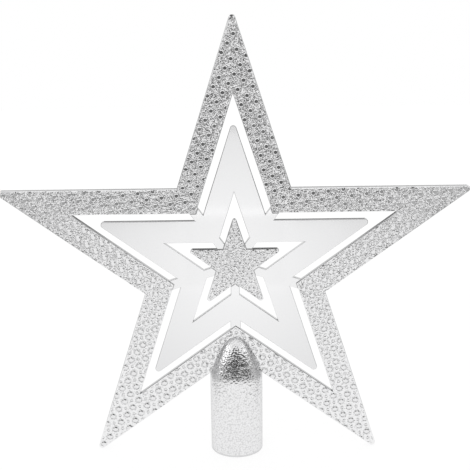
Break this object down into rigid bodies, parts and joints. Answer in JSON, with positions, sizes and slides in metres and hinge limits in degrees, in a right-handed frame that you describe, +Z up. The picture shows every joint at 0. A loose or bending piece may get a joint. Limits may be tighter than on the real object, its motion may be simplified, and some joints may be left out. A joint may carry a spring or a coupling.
{
  "type": "christmas tree topper star",
  "caption": "Silver tree topper of nested flat stars, embossed and mirror-smooth by turns, joined by short webs and carried on a pebbled push-on socket with a pointed domed nose.",
  "frame": {"origin": "centre of the socket's mouth, on the socket's axis", "axes": "+Z up the socket and the stars, -Y the front, +X the right as seen from the front"},
  "size_m": [0.1998, 0.023, 0.1905],
  "materials": {
    "embossed_silver": "metallised silver over a lattice of small embossed rings",
    "mirror_silver": "smooth mirror-bright metallised silver",
    "pebbled_silver": "metallised silver over a fine pebbled skin"
  },
  "bodies": {
    "root": {"outer_star_front": "embossed_silver", "outer_star_back": "embossed_silver", "middle_star": "mirror_silver", "inner_star_front": "embossed_silver", "inner_star_back": "embossed_silver", "socket": "pebbled_silver"}
  },
  "joints": []
}
